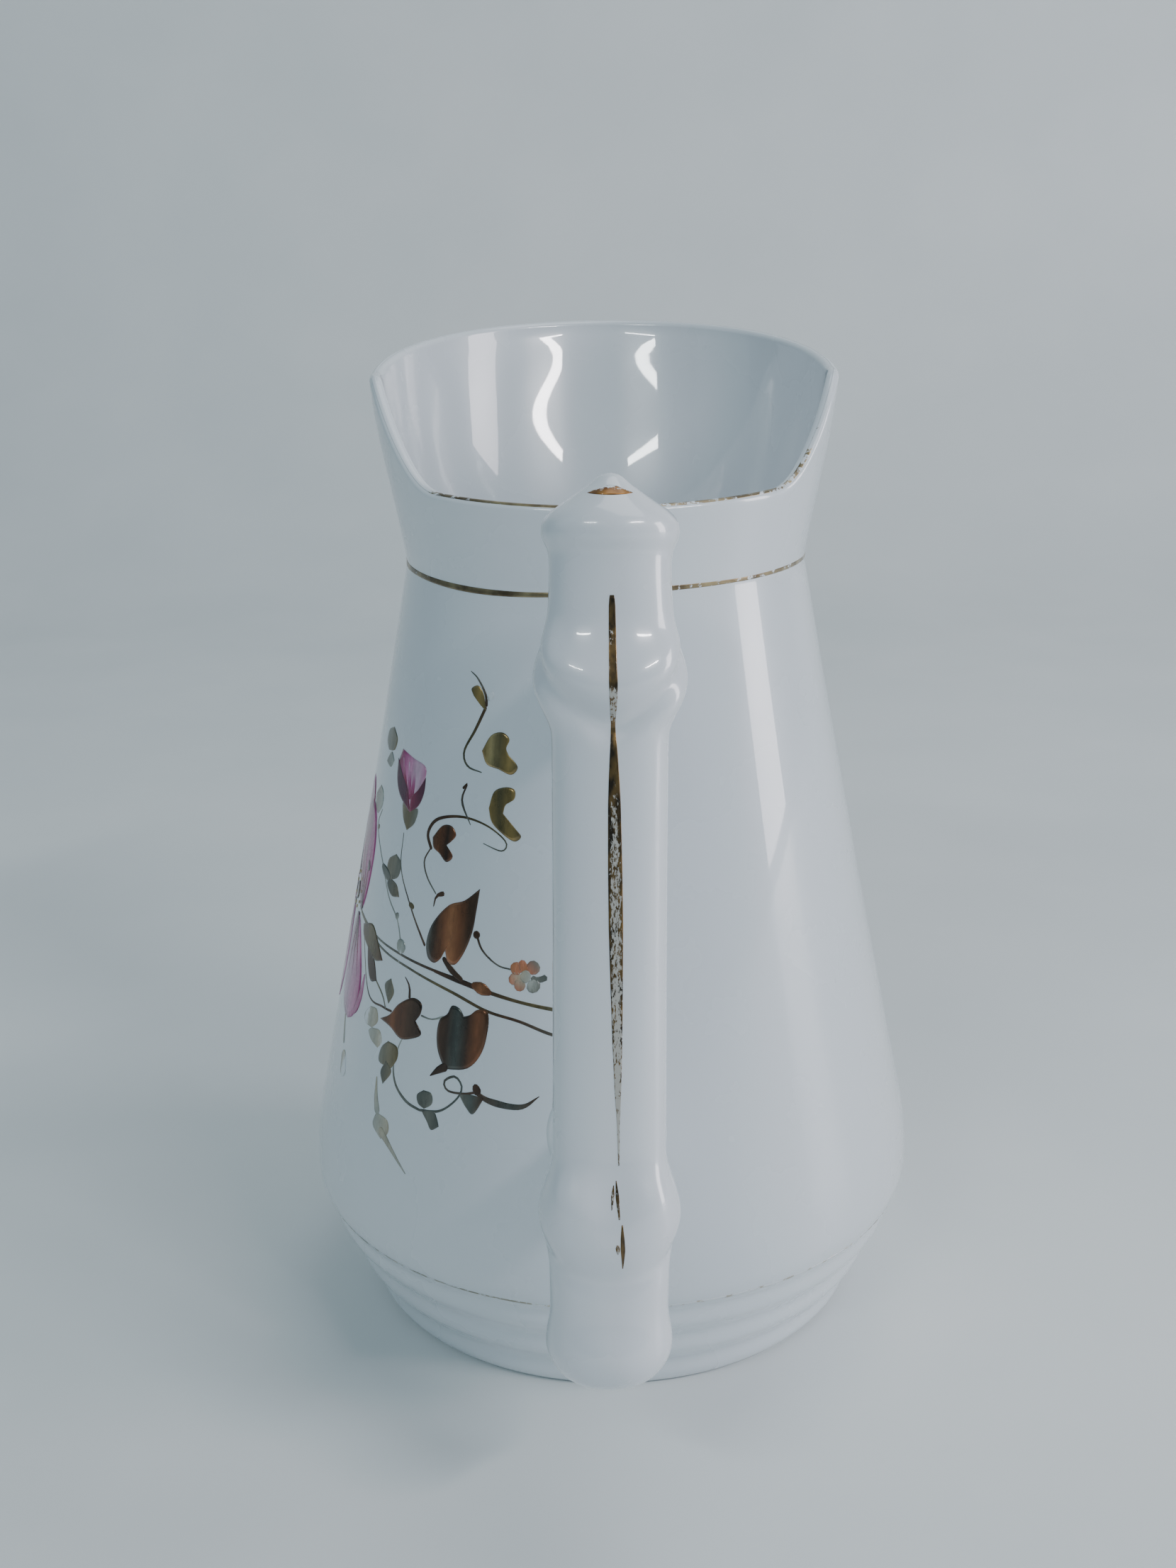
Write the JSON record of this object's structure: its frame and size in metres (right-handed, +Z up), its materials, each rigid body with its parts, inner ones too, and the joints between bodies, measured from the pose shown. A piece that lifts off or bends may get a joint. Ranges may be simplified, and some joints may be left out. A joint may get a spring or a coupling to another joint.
{
  "type": "cream jug",
  "caption": "Tall tapering porcelain jug with a turned foot, a flared collar rising to a broad pouring lip, an upright baluster handle and thin gilt lines.",
  "frame": {"origin": "on the table under the middle of the whole jug's box; the body's own axis is 18.8 mm further towards +Y", "axes": "+Z up, +Y towards the spout, -Y towards the handle, +X to the right seen from the handle"},
  "size_m": [0.1064, 0.1435, 0.1667],
  "materials": {
    "porcelain": "clear gloss glaze over white porcelain",
    "handle_porcelain": "clear gloss glaze over white porcelain",
    "luting_slip": "glazed fillet of fired slip",
    "gilding": "thin worn gold line"
  },
  "bodies": {
    "root": {"jug_body": "porcelain", "handle": "handle_porcelain", "upper_luting_slip": "luting_slip", "lower_luting_slip": "luting_slip", "rim_gilding": "gilding", "neck_gilding": "gilding", "foot_gilding": "gilding", "grip_gilding": "gilding", "finial_gilding": "gilding"}
  },
  "joints": []
}
